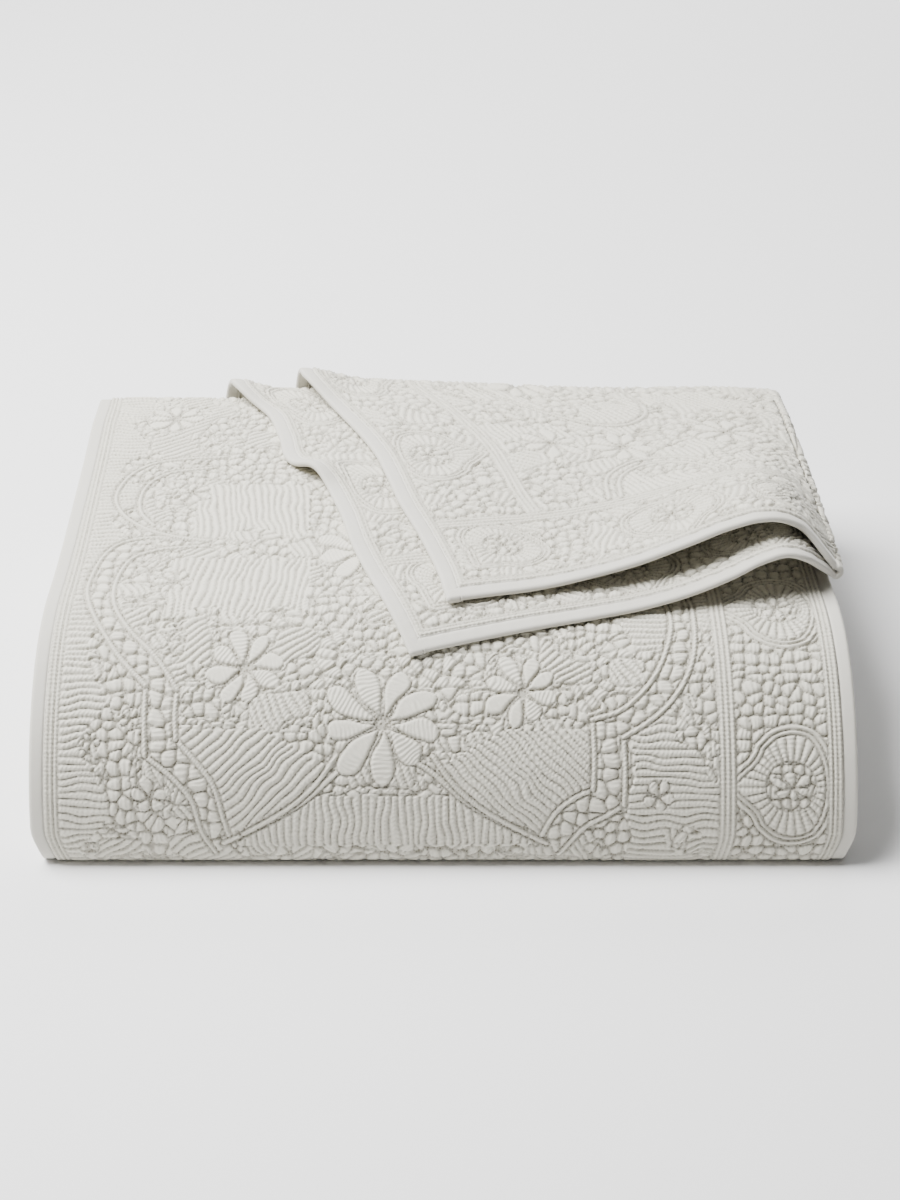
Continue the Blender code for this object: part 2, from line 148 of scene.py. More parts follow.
def layer_height(layer):
    return CLOTH_THICK / 2 + (layer - 1) * PITCH


def fold_end(layer, side):
    reach = PITCH / 2 + CLOTH_THICK / 2
    if side == "back":
        return STACK_BACK - layer_value(layer, "back_short") - reach
    depth, height = front_outline(np.linspace(math.pi / 2, 0.0, 200))
    depth, height = offset_line(depth, height, -(CLOTH_THICK + LAYER_CLEARANCE))
    top = min(layer_height(layer + 1) + CLOTH_THICK / 2, height.max() - 1e-5)
    return np.interp(top, height, depth) + layer_value(layer, "front_short") + reach


def fold_arc(layer, side):
    turn = np.linspace(-math.pi / 2, math.pi / 2, 11)
    way = 1.0 if side == "back" else -1.0
    depth = fold_end(layer, side) + way * np.cos(turn) * PITCH / 2
    height = layer_height(layer) + PITCH / 2 + np.sin(turn) * PITCH / 2
    above = min(layer + 1, LAYER_COUNT)
    draw_in = (layer_value(layer, "draw_in") + layer_value(above, "draw_in")) / 2
    drift = (layer_value(layer, "drift") + layer_value(above, "drift")) / 2
    return [(d, h, draw_in, drift, 0.0) for d, h in zip(depth, height)]


def middle_of_layer(layer):
    front = fold_end(layer if layer % 2 == 0 else max(layer - 1, 1), "front")
    return [(depth, layer_height(layer), layer_value(layer, "draw_in"),
             layer_value(layer, "drift"), 0.0)
            for depth in LAYER_STATIONS if depth > front + CLOTH_THICK]


def wrap_line():
    line = [(depth, BUNDLE_HEIGHT) for depth in np.arange(0.43, FRONT_DEPTH, -0.01)]
    flat = len(line)
    line += list(zip(*front_outline(np.linspace(0.0, math.pi / 2, 36))))
    for turn in np.linspace(0.0, math.pi / 2, 9)[1:]:
        line.append((FRONT_LOW_DEPTH * (1 - math.cos(turn)),
                     FRONT_LOW_HEIGHT * (1 - math.sin(turn))))
    line = [(max(depth, 0.0), height) for depth, height in line] + [(0.06, 0.0)]
    depth, height = offset_line(*np.array(line).T, CLOTH_THICK / 2)
    row = np.arange(len(height))
    height = np.where(row >= len(height) - 2, CLOTH_THICK / 2, height)
    height = np.where(row < flat, BUNDLE_HEIGHT - CLOTH_THICK / 2, height)
    draw_in = smooth_table(depth, WRAP_COLUMNS, WRAP_ROWS, "depth", "draw_in")
    drift = smooth_table(depth, WRAP_COLUMNS, WRAP_ROWS, "depth", "drift")
    foot = 1.0 - smooth_step(height, CLOTH_THICK / 2, 2 * FRONT_LOW_HEIGHT)
    draw_in = draw_in + foot * (WRAP_FOOT_DRAW_IN - draw_in)
    inset = np.where(row < len(height) - 2, FACE_INSET, 0.0)
    return [tuple(r) for r in zip(depth, height, draw_in, drift * (1.0 - foot), inset)]


def bundle_section():
    start = BACK_LAYER + 1
    line = [(STACK_BACK - layer_value(start, "back_short"), layer_height(start),
             layer_value(start, "draw_in"), layer_value(start, "drift"), 0.0)]
    for layer in range(start, LAYER_COUNT + 1):
        forward = (layer - start) % 2 == 0
        line += middle_of_layer(layer)[::-1] if forward else middle_of_layer(layer)
        line += fold_arc(layer, "front" if forward else "back")
    line += wrap_line()
    for layer in range(1, BACK_LAYER):
        back = layer % 2 == 1
        line += middle_of_layer(layer) if back else middle_of_layer(layer)[::-1]
        line += fold_arc(layer, "back" if back else "front")
    line += middle_of_layer(BACK_LAYER)
    line.append((STACK_BACK - layer_value(BACK_LAYER, "back_short"),
                 layer_height(BACK_LAYER), layer_value(BACK_LAYER, "draw_in"),
                 layer_value(BACK_LAYER, "drift"), 0.0))
    return np.array(line)


def section_places(section, x_of):
    """Middle places and normals of the section, for a function that gives x from the rows."""
    depth, height = section[:, 0], section[:, 1]
    off_depth, off_height = offset_line(depth, height, 1.0)
    x = x_of(section[:, 2:3], section[:, 3:4])
    places = np.zeros(x.shape + (3,))
    places[..., 0] = x
    places[..., 1] = depth[:, None]
    places[..., 2] = uneven(height[:, None], x, depth[:, None])
    normals = np.zeros_like(places)
    normals[..., 1] = (off_depth - depth)[:, None]
    normals[..., 2] = (off_height - height)[:, None]
    return places, normals


def mesh_piece(name, places, faces, material, normals=None, values=None):
    """A smooth mesh object from its places, four-cornered faces and stitch values."""
    mesh = bpy.data.meshes.new(name)
    places = np.asarray(places, float).reshape(-1, 3) + TO_CENTRE
    places[:, 2] = np.maximum(places[:, 2], 0.0)
    mesh.vertices.add(len(places))
    mesh.vertices.foreach_set("co", places.ravel())
    mesh.loops.add(faces.size)
    mesh.loops.foreach_set("vertex_index", faces.astype(np.int32).ravel())
    mesh.polygons.add(len(faces))
    mesh.polygons.foreach_set("loop_start", np.arange(0, faces.size, 4, dtype=np.int32))
    mesh.polygons.foreach_set("use_smooth", np.ones(len(faces), bool))
    mesh.update(calc_edges=True)
    mesh.validate()
    if normals is not None:
        mesh.normals_split_custom_set_from_vertices(normals.reshape(-1, 3))
    if values is not None:
        layer = mesh.attributes.new("stitch", "FLOAT", "POINT")
        layer.data.foreach_set("value", np.asarray(values, np.float32).ravel())
    piece = bpy.data.objects.new(name, mesh)
    bpy.context.scene.collection.objects.link(piece)
    mesh.materials.append(material)
    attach(piece, "root")
    return piece


def grid_faces(rows, columns, first=0, flip=False):
    i = np.arange(rows * columns).reshape(rows, columns) + first
    corners = [i[:-1, :-1], i[:-1, 1:], i[1:, 1:], i[1:, :-1]]
    faces = np.stack(corners[::-1] if flip else corners, -1)
    return faces.reshape(-1, 4)


def closed_sheet(name, places, normals, outer, inner, material):
    """A cloth or a binding as one closed mesh, from how far each side stands off its middle."""
    rows, columns = places.shape[:2]
    top = places + normals * outer[..., None]
    under = places - normals * inner[..., None]
    count = rows * columns
    index = np.arange(count).reshape(rows, columns)
    rim = np.concatenate([index[0, :-1], index[:-1, -1], index[-1, :0:-1], index[:0:-1, 0]])
    after = np.roll(rim, -1)
    wall = np.stack([rim, rim + count, after + count, after], -1)
    faces = np.concatenate([grid_faces(rows, columns), grid_faces(rows, columns, count, True),
                            wall])
    return mesh_piece(name, np.concatenate([top.reshape(-1, 3), under.reshape(-1, 3)]),
                      faces, material)


def add_node(tree, kind, values):
    """A shader node; each value is a plain one or another node's output."""
    node = tree.nodes.new(kind)
    if kind == "ShaderNodeMix":
        node.data_type = "RGBA"
    for name, value in values.items():
        if isinstance(value, bpy.types.NodeSocket):
            tree.links.new(value, node.inputs[name])
        else:
            node.inputs[name].default_value = value
    return node


def relief(tree, height, strength, distance, under=None):
    """The normal of a bump, laid over another bump's normal where one is given."""
    values = {"Strength": strength, "Distance": distance, "Height": height}
    if under is not None:
        values["Normal"] = under
    return add_node(tree, "ShaderNodeBump", values).outputs["Normal"]


def noise(tree, place, scale, detail):
    values = {"Scale": scale, "Detail": detail, "Vector": place}
    return add_node(tree, "ShaderNodeTexNoise", values).outputs["Fac"]


def mixed(tree, share, first, second):
    values = {"Factor": share, "A": first, "B": second}
    return add_node(tree, "ShaderNodeMix", values).outputs["Result"]


def plain_cotton(name, look, tones, cloud_scale):
    """A matt cotton with a soft sheen, in two near tones that drift over the cloth."""
    material = bpy.data.materials.new(name)
    material.use_nodes = True
    tree = material.node_tree
    shader = tree.nodes["Principled BSDF"]
    for socket, value in look.items():
        shader.inputs[socket].default_value = value
    place = tree.nodes.new("ShaderNodeTexCoord").outputs["Object"]
    colour = mixed(tree, noise(tree, place, cloud_scale, 3.0), *tones)
    return material, tree, shader, place, colour


def paint_stitch_light_and_shade(tree, place, colour):
    """Painted highlight on the crests, and painted shade in the deep grooves and in the small
    holes of the stitches in them.
    """
    stitch = add_node(tree, "ShaderNodeAttribute", {})
    stitch.attribute_name = "stitch"
    holes = add_node(tree, "ShaderNodeTexVoronoi",
                     {"Scale": HOLE_SCALE, "Vector": place})
    dots = add_node(tree, "ShaderNodeMapRange", {
        "Value": holes.outputs["Distance"], "From Min": 0.28, "From Max": 0.52,
        "To Min": 1.0, "To Max": 0.36})
    near_line = add_node(tree, "ShaderNodeMapRange",
                         {"Value": stitch.outputs["Fac"], "From Min": 0.45})
    strength = tree.nodes.new("ShaderNodeMath")
    strength.operation = "MULTIPLY"
    tree.links.new(near_line.outputs["Result"], strength.inputs[0])
    tree.links.new(dots.outputs["Result"], strength.inputs[1])
    # painted highlight on the crests, then painted shade along the lines of stitches and in
    # their holes
    colour = mixed(tree, stitch.outputs["Fac"], COTTON_PAINTED_HIGHLIGHT, colour)
    return mixed(tree, strength.outputs["Value"], colour, COTTON_PAINTED_SHADE)


def quilted_cotton(name, pebble_bump, paint_stitch_light):
    """Washed white cotton: a fine weave, small crinkles, and the painted highlight and shade of
    its stitches or a pebble bump.
    """
    material, tree, shader, place, colour = plain_cotton(
        name, COTTON_LOOK, (COTTON, COTTON_CLOUD), 22.0)
    if paint_stitch_light:
        colour = paint_stitch_light_and_shade(tree, place, colour)
    tree.links.new(colour, shader.inputs["Base Color"])
    normal = relief(tree, noise(tree, place, 900.0, 2.0), 0.25, 0.0003)
    normal = relief(tree, noise(tree, place, 260.0, 1.5), 0.45, 0.0007, normal)
    if pebble_bump:
        cells = add_node(tree, "ShaderNodeTexVoronoi",
                         {"Scale": PEBBLE_SCALE, "Vector": place})
        edge = add_node(tree, "ShaderNodeMapRange", {
            "Value": cells.outputs["Distance"], "From Max": 0.6, "To Min": 1.0,
            "To Max": 0.0})
        edge.interpolation_type = "SMOOTHSTEP"
        normal = relief(tree, edge.outputs["Result"], 0.8, 0.0016, normal)
    tree.links.new(normal, shader.inputs["Normal"])
    return material


# the face's cotton carries the painted highlight and painted shade of its stitches
quilted_face_cotton = quilted_cotton("quilted_face_cotton", False, True)
quilted_body_cotton = quilted_cotton("quilted_body_cotton", True, False)

section = bundle_section()
body_edge = BINDING_WIDTH + BINDING_GAP
shares = np.linspace(-1.0, 1.0, 25)[None, :]


def body_x(draw_in, drift):
    return shares * (WIDTH / 2 - draw_in - body_edge) + drift


places, normals = section_places(section, body_x)
half = np.full(places.shape[:2], CLOTH_THICK / 2)
layers = closed_sheet("folded_layers", places, normals, half, half - section[:, 4:5],
                      quilted_body_cotton)
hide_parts("coverlet_cloth")

# The quilted face of the outer wrap: fine white cotton, machine quilted over a thin wadding
# in a traditional design, in rows of small stitches. It runs from the back of the top over
# the big rounded front fold to the floor.
FACE_STEP = 0.00102         # the grid of the face
FACE_UNDER_BINDING = 0.0006 # how far the face reaches under the binding
FACE_FOOT_RUN, FACE_SPLIT_RUN, FACE_BACK_RUN = 0.2400, -0.060, -0.3372
SEEN_MARGIN = 0.055         # how far the top's face goes on under the loose end
FACE_LOWEST = 0.0005        # how far the stitches stand above the plain cloth
MAIN_DEPTH = 0.0003         # how much deeper the stitches of the main outlines lie
PUFF = 0.0030               # how high the wadding stands between two lines of stitches
PUFF_REACH = 3.0            # mm from a line of stitches to the full height
ROW_SPACING = 5.6           # mm between the lines of a plain channel
SLIP = 5.0                  # mm, how unevenly the hand-guided fillings run
PATCH = 27.0                # mm, the size of a patch of one kind of filling
GROUND = (                  # noise from and to, angle, length and width of the cells in mm
    (0.00, 0.40, 0, 10.0, 9.0),
    (0.40, 0.55, 48, 15.0, 8.0),
    (0.55, 0.70, -42, 15.0, 8.0),
    (0.70, 1.01, 90, 13.0, 7.5),
)
CELL_ROUND = 0.95           # per mm; lower makes the cells rounder
LADDER = 0.33               # how deep the puckers across a channel are, as a share of it
LADDER_STEP = 3.3           # mm
MEDALLION_X = -44.0         # mm, the middle of the ogee medallion
BEHIND = ((0, -400),)       # mm, a point far back that closes the medallion's outlines
CORD_LINES = (207.0, 211.0, 215.0, 219.0)
CORD_HALF = 2.3             # mm
NO_LINE = 9.0               # mm, further than any line of stitches shows
EDGE_LINES = (3.0, 6.5, 10.0)
BINDING_LINE = -0.4         # mm, where the binding is sewn down
MEDALLION_FRONT, BAND_BACK = 216, -62
HEART_TABLE = ((-48, 0), (-38, 13), (-27, 23), (-21, 34), (-8, 44), (8, 47), (24, 41),
               (34, 24), (38, 0))
SHELL_LINES = (0.0, 4.4, 8.2)
SHELL_RAYS, SHELL_MIDDLE = 30, 19
FLOWER_HEART = 0.13         # radius of a flower's middle, as a share of its petals' length
HEART_X = 256.0
HEART_FIRST, HEART_PERIOD, HEART_COUNT = 169.0, 155.0, 4
OUTER_LEFT = (
    ((-174, 222), (-182, 201), (-188, 180), (-203, 162), (-223, 146)),
    ((-223, 146), (-224, 120), (-224, 93)),
    ((-224, 93), (-244, 71), (-258, 50), (-270, 28), (-278, 5), (-279, -16), (-274, -48),
     (-262, -68), (-240, -77), (-207, -75), (-190, -72)),
    ((-190, -72), (-222, -80), (-248, -94), (-266, -115), (-274, -142), (-266, -176),
     (-248, -197), (-218, -206), (-185, -209)),
)
INNER_LEFT = (
    ((-158, 216), (-164, 196), (-171, 170), (-183, 153), (-200, 134)),
    ((-200, 134), (-201, 115), (-200, 96)),
    ((-200, 96), (-218, 69), (-238, 47), (-252, 25), (-258, 3), (-257, -25), (-249, -48),
     (-228, -60), (-200, -64)),
    ((-238, -96), (-250, -115), (-253, -140), (-247, -164), (-230, -182), (-196, -190)),
)
OUTER_RIGHT = (
    ((88, 224), (104, 202), (122, 191), (135, 183)),
    ((135, 183), (136, 158), (135, 132)),
    ((135, 132), (152, 122), (168, 109), (182, 90), (191, 66), (194, 32), (192, 0),
     (184, -30), (165, -55), (140, -70)),
)
INNER_RIGHT = (
    ((70, 214), (83, 190), (97, 178), (112, 171)),
    ((112, 171), (113, 145), (112, 119)),
    ((112, 119), (135, 111), (156, 91), (169, 66), (176, 35), (172, 5), (160, -22),
     (140, -44)),
)
VEINS = (
    ((-166, 214), (-130, 196), (-104, 180), (-79, 158), (-62, 148)),
    ((78, 214), (42, 196), (16, 180), (-9, 158), (-26, 148)),
    ((-150, 206), (-118, 187), (-96, 168), (-80, 146)),
    ((62, 206), (30, 187), (8, 168), (-8, 146)),
)
FLOWERS = (   # x, run, petals, length, half width, turn in degrees
    (-45, 122, 9, 46, 11.0, 10),
    (-150, 78, 8, 31, 8.6, 30),
    (60, 97, 8, 30, 8.4, 15),
    (-212, -12, 6, 16, 5.0, 0),
    (-208, -146, 6, 15, 5.0, 20),
    (-220, 177, 5, 13, 5.6, 50),
    (162, 176, 5, 12, 5.2, 10),
    (-235, 118, 5, 9, 3.6, 20),
    (-264, 137, 5, 8, 3.4, 0),
    (-60, -60, 9, 44, 10.5, 0),
    (-120, -255, 8, 34, 8.6, 10),
    (-235, -280, 8, 26, 7.0, 0),
)


def speckle(i, j, seed):
    value = np.sin(i * 127.1 + j * 311.7 + seed * 74.7) * 43758.5453
    return value - np.floor(value)


def soft_noise(x, y, size, seed):
    x, y = x / size, y / size
    i, j = np.floor(x), np.floor(y)
    u, v = x - i, y - j
    u, v = u * u * (3 - 2 * u), v * v * (3 - 2 * v)
    low = speckle(i, j, seed) * (1 - u) + speckle(i + 1, j, seed) * u
    high = speckle(i, j + 1, seed) * (1 - u) + speckle(i + 1, j + 1, seed) * u
    return low * (1 - v) + high * v


def pebbles(x, y, wide, tall, seed, stray=0.8):
    """Distance in mm to the nearest line of a fill of rounded, uneven cells."""
    u, v = x / wide, y / tall
    i, j = np.floor(u), np.floor(v)
    centres = []
    for di in (-1, 0, 1):
        for dj in (-1, 0, 1):
            cx = i + di + 0.5 + stray * (speckle(i + di, j + dj, seed) - 0.5)
            cy = j + dj + 0.5 + stray * (speckle(i + di, j + dj, seed + 5) - 0.5)
            centres.append((cx * wide - x, cy * tall - y))
    near = np.full(x.shape, 1e9)
    best = [np.zeros(x.shape), np.zeros(x.shape)]
    for cx, cy in centres:
        away = cx * cx + cy * cy
        closer = away < near
        near = np.where(closer, away, near)
        best = [np.where(closer, cx, best[0]), np.where(closer, cy, best[1])]
    crowd = np.zeros(x.shape)
    for cx, cy in centres:
        gx, gy = cx - best[0], cy - best[1]
        length = np.hypot(gx, gy)
        middle = ((cx + best[0]) * gx + (cy + best[1]) * gy) / 2
        edge = middle / np.maximum(length, 1e-6)
        crowd += np.where(length > 1e-6, np.exp(-CELL_ROUND * edge), 0.0)
    return np.maximum(-np.log(crowd) / CELL_ROUND, 0.0)


def channel(value, spacing):
    """Distance to the nearest of many lines, from a coordinate across them in mm."""
    share = value / spacing
    return np.abs(share - np.round(share)) * spacing


def smooth_path(points, closed=False, steps=6):
    points = np.array(points, float)
    if len(points) < 3:
        return points
    padded = (np.concatenate([points[-1:], points, points[:2]]) if closed
              else np.concatenate([2 * points[:1] - points[1:2], points,
                                   2 * points[-1:] - points[-2:-1]]))
    line = []
    for a, b, c, d in zip(padded, padded[1:], padded[2:], padded[3:]):
        for t in np.arange(steps) / steps:
            line.append(0.5 * (2 * b + (c - a) * t + (2 * a - 5 * b + 4 * c - d) * t ** 2
                               + (3 * b - a - 3 * c + d) * t ** 3))
    line.append(line[0] if closed else points[-1])
    return np.array(line)


def path_distance(x, y, path):
    nearest = np.full(x.shape, 1e9)
    for (ax, ay), (bx, by) in zip(path[:-1], path[1:]):
        dx, dy = bx - ax, by - ay
        t = np.clip(((x - ax) * dx + (y - ay) * dy) / (dx * dx + dy * dy + 1e-12), 0, 1)
        nearest = np.minimum(nearest, (x - ax - t * dx) ** 2 + (y - ay - t * dy) ** 2)
    return np.sqrt(nearest)


def inside_path(x, y, path):
    odd = np.zeros(x.shape, bool)
    for (ax, ay), (bx, by) in zip(path, np.roll(path, -1, 0)):
        if ay == by:
            continue
        crosses = (ay > y) != (by > y)
        odd ^= crosses & (x < (bx - ax) * (y - ay) / (by - ay) + ax)
    return odd


def joined(paths):
    return np.concatenate([smooth_path(path) for path in paths])


class Quilting:
    """The lines of stitches on one face: distance to the nearest line, and the puckers."""

    def __init__(self, x, y, seed):
        self.x, self.y, self.seed = x, y, seed
        self.step = float(np.median(np.abs(np.diff(x, axis=1))))
        self.wx = x + SLIP * (soft_noise(x, y, 15, seed + 1) - 0.5)
        self.wy = y + SLIP * (soft_noise(x, y, 15, seed + 2) - 0.5)
        self.gap = np.full(x.shape, NO_LINE)
        self.main = np.full(x.shape, NO_LINE)
        self.along = self.wx
        self.patches()

    def patches(self):
        """The ground: patches of round pebbles, of slanting leaves and of short channels."""
        ground = soft_noise(self.x, self.y, PATCH, self.seed + 9)
        slant = soft_noise(self.x, self.y, PATCH, self.seed + 13)
        for low, high, angle, wide, tall in GROUND:
            turn = math.radians(angle)
            u = self.wx * math.cos(turn) - self.wy * math.sin(turn)
            v = self.wx * math.sin(turn) + self.wy * math.cos(turn)
            where = (ground >= low) & (ground < high)
            self.fill(where, pebbles(u, v, wide, tall, self.seed + angle), u)
            self.line(self.border(ground - low), where)
        self.rows((slant > 0.70) & (ground > 0.4), 35)
        self.rows((slant < 0.28) & (ground > 0.4), 115)
        for level in (0.28, 0.70):
            self.line(self.border(slant - level), ground > 0.4)

    def border(self, field):
        """Rough distance in mm to where a slowly changing value is nought."""
        slope = np.hypot(*np.gradient(field)) / self.step
        return np.abs(field) / (slope + 1e-4)

    def fill(self, where, gap, along):
        self.gap = np.where(where, gap, self.gap)
        self.main = np.where(where, NO_LINE, self.main)
        self.along = np.where(where, along, self.along)

    def line(self, distance, where=True):
        self.gap = np.where(where, np.minimum(self.gap, distance), self.gap)

    def main_line(self, distance, where=True):
        """A line of a main outline, whose stitches lie deeper, under darker painted shade."""
        self.line(distance, where)
        self.main = np.where(where, np.minimum(self.main, distance), self.main)

    def rows(self, where, angle, spacing=ROW_SPACING):
        turn = math.radians(angle)
        across = self.wx * math.sin(turn) + self.wy * math.cos(turn)
        along = self.wx * math.cos(turn) - self.wy * math.sin(turn)
        stagger = 1.7 * np.round(across / spacing)
        self.fill(where, channel(across, spacing), along + stagger)

    def flower(self, cx, cy, petals, length, half_width, turn):
        dx, dy = self.wx - cx, self.wy - cy
        radius = np.hypot(dx, dy)
        heart = length * FLOWER_HEART
        angle = np.arctan2(dy, dx) - math.radians(turn)
        share = angle / (2 * math.pi / petals)
        number = np.round(share)
        size = 0.86 + 0.24 * speckle(number % petals, self.seed, 3)
        angle = (share - number) * 2 * math.pi / petals
        reach = length * size
        p = radius * np.cos(angle)
        q = radius * np.sin(angle)
        t = np.clip((p - heart) / (reach - heart), 0.0, 1.0)
        width = half_width * np.sqrt(np.sin(math.pi * t ** 1.3).clip(0)) * (0.45 + 0.62 * t)
        petal = width - np.abs(q)
        near = radius < length * 1.15
        inside = (petal > 0) & near
        self.fill(inside, petal, p)
        self.main_line(np.abs(petal), near & (t > 0) & (t < 1))
        middle = radius < heart
        bud = pebbles(dx, dy, heart * 0.7, heart * 0.7, 3)
        self.fill(middle, np.minimum(bud, heart - radius), dx)
        self.main_line(np.abs(radius - heart), near)

    def shell(self, cx, cy, point, size=1.0):
        """A heart-shaped shell: doubled outline, rays, and a small round flower inside."""
        turn = math.radians(point)
        dx, dy = self.x - cx, self.y - cy
        p = (dx * math.cos(turn) + dy * math.sin(turn)) / size
        q = (dy * math.cos(turn) - dx * math.sin(turn)) / size
        half = np.array(HEART_TABLE, float)
        mirrored = half[-2:0:-1] * (1, -1)
        outline = smooth_path(np.concatenate([half, mirrored]), closed=True)
        near = (np.abs(p) < 60) & (np.abs(q) < 60)
        depth = np.zeros(self.x.shape)
        flat = path_distance(p[near], q[near], outline)
        depth[near] = np.where(inside_path(p[near], q[near], outline), flat, -flat)
        within = near & (depth > 0)
        radius = np.hypot(p - 4, q)
        angle = np.arctan2(q, p - 4)
        share = angle / (2 * math.pi) * SHELL_RAYS
        ray = np.abs(share - np.round(share)) / SHELL_RAYS * 2 * math.pi * radius
        self.fill(within & (depth > SHELL_LINES[-1]), ray, radius)
        self.fill(within & (depth <= SHELL_LINES[-1]), NO_LINE, radius)
        for at in SHELL_LINES:
            self.main_line(np.abs(depth - at), near & (depth > -6))
        self.fill(within & (radius < SHELL_MIDDLE), pebbles(p - 4, q, 8, 8, 11), p)
        self.line(np.abs(radius - SHELL_MIDDLE), within)
        self.flower(cx + 4 * math.cos(turn) * size, cy + 4 * math.sin(turn) * size,
                    6, 14 * size, 4.6 * size, 20)

    def outline(self, path, where=True):
        """A raised cord between two lines of stitches."""
        away = path_distance(self.x, self.y, smooth_path(path))
        self.fill(where & (away < CORD_HALF), CORD_HALF - away, self.x + self.y)
        self.main_line(np.abs(away - CORD_HALF), where & (away < 8))

    def cords(self, distance, lines):
        for at in lines:
            self.line(np.abs(distance - at))

    def height(self):
        t = np.clip(self.gap / PUFF_REACH, 0.0, 1.0)
        puff = np.sqrt(1.0 - (1.0 - t) ** 2)
        ladder = 0.5 + 0.5 * np.cos(2 * math.pi * self.along / LADDER_STEP
                                    + 4 * soft_noise(self.x, self.y, 7, 21))
        puff = puff * (1.0 - LADDER * ladder * (1 - 0.25 * t))
        slow = 0.5 * (soft_noise(self.x, self.y, 24, 31) - 0.5) * puff
        main = MAIN_DEPTH * np.exp(-(self.main / 1.1) ** 2)
        return PUFF * puff - main + MM * slow

    def stitches(self):
        """From 0 on the crest between the lines to 1 on a main line of stitches."""
        near, main = (np.clip(1.0 - gap / PUFF_REACH, 0.0, 1.0)
                      for gap in (self.gap, self.main))
        return np.maximum(0.86 * near, main)


def wrap_quilting(x, y):
    work = Quilting(x, y, 1)
    field_left = -262 + 9 * np.sin(y / 13.0) + 14 * (soft_noise(x, y, 22, 8) - 0.5)
    work.rows(x < field_left, 0)
    work.rows((x > 138) & (x < 207) & (soft_noise(x, y, 26, 9) < 0.62), 0)

    outer = np.concatenate([joined(OUTER_LEFT), BEHIND, joined(OUTER_RIGHT)[::-1]])
    inner = np.concatenate([joined(INNER_LEFT), BEHIND, joined(INNER_RIGHT)[::-1]])
    in_outer = inside_path(x, y, outer) & (y < MEDALLION_FRONT)
    in_inner = inside_path(x, y, inner) & (y < MEDALLION_FRONT)
    band = in_outer & ~in_inner & (y > BAND_BACK)
    work.fill(band, pebbles(work.wx, work.wy, 11.0, 11.0, 15, 0.5), work.wy)
    q = np.abs(x - MEDALLION_X)
    below_vein = np.interp(q, (0, 35, 64, 100, 122), (160, 158, 182, 202, 214))
    for side in (-1, 1):
        here = in_inner & (y > 126 + 0.55 * np.maximum(0, 92 - q)) & (q > 40)
        work.rows(here & (y < below_vein - 5) & ((x - MEDALLION_X) * side > 0), -44 * side)
    work.rows(in_inner & (y > below_vein + 5) & (y > 176), 90)
    work.rows((q > 62) & (q < 172) & (y > -46) & (y < 26 + 6 * np.sin(x / 9)), 84)
    work.rows((q > 66) & (q < 160) & (y > -160) & (y < -84 + 8 * np.sin(x / 11)), 96)
    for path in OUTER_LEFT + INNER_LEFT + OUTER_RIGHT + INNER_RIGHT + VEINS:
        work.outline(path)
    for place in FLOWERS:
        work.flower(*place)
    border = x > CORD_LINES[-1]
    work.fill(border, pebbles(work.wx, work.wy, 10.0, 9.0, 23), work.wx)
    for number in range(HEART_COUNT):
        work.shell(HEART_X, HEART_FIRST - number * HEART_PERIOD, 0)
    band = (x > CORD_LINES[0]) & (x < CORD_LINES[-1])
    work.fill(band, NO_LINE, y)
    work.cords(x, CORD_LINES)
    edge = WIDTH / 2 / MM - BINDING_WIDTH / MM - np.abs(x)
    work.fill(edge < EDGE_LINES[-1], NO_LINE, y)
    work.cords(edge, (BINDING_LINE,) + EDGE_LINES)
    return work


def cover_line(run):
    """Depth, height and outward normal of the wrap's face; run is 0 on top of the front fold."""
    angle = np.linspace(0.0, math.pi / 2, 400)
    depth, height = front_outline(angle)
    turn = np.linspace(0.0, math.pi / 2, 60)[1:]
    back = np.linspace(math.pi / 2, 0.0, 40)[:-1]
    radius = PITCH / 2 + CLOTH_THICK / 2
    flat = np.linspace(fold_end(LAYER_COUNT, "back"), FRONT_DEPTH, 300)[:-1]
    depth = np.concatenate([flat[0] + radius * np.sin(back), flat, depth,
                            FRONT_LOW_DEPTH * (1 - np.cos(turn))])
    height = np.concatenate([BUNDLE_HEIGHT - radius * (1 - np.cos(back)),
                             np.full(len(flat), BUNDLE_HEIGHT), height,
                             FRONT_LOW_HEIGHT * (1 - np.sin(turn))])
    top = len(back) + len(flat)
    out_depth, out_height = offset_line(depth, height, -1.0)
    runs = np.concatenate([[0.0], np.cumsum(np.hypot(np.diff(depth), np.diff(height)))])
    runs -= runs[top]
    away = [np.interp(run, runs, v) for v in (out_depth - depth, out_height - height)]
    return np.interp(run, runs, depth), np.interp(run, runs, height), away


def surface_normals(places):
    """Normals of a grid of places; columns run to the right and rows run back or up."""
    across = np.gradient(places, axis=1)
    along = np.gradient(places, axis=0)
    normals = np.cross(across, along)
    return normals / np.linalg.norm(normals, axis=-1, keepdims=True)


def cut_grid(name, places, normals, values, rows, columns, keep=None):
    """One piece of a face, from some rows and columns of its grid."""
    part = (slice(*rows), slice(*columns))
    count = places[part].shape[:2]
    faces = grid_faces(*count)
    if keep is not None:
        wanted = keep[part]
        wanted = wanted[:-1, :-1] | wanted[1:, 1:] | wanted[:-1, 1:] | wanted[1:, :-1]
        faces = faces[wanted.ravel()]
    used = np.unique(faces)
    renumber = np.zeros(count[0] * count[1], int)
    renumber[used] = np.arange(len(used))
    piece = mesh_piece(name, places[part].reshape(-1, 3)[used], renumber[faces],
                       quilted_face_cotton, normals[part].reshape(-1, 3)[used],
                       values[part].reshape(-1)[used])
    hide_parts("coverlet_cloth")
    return piece


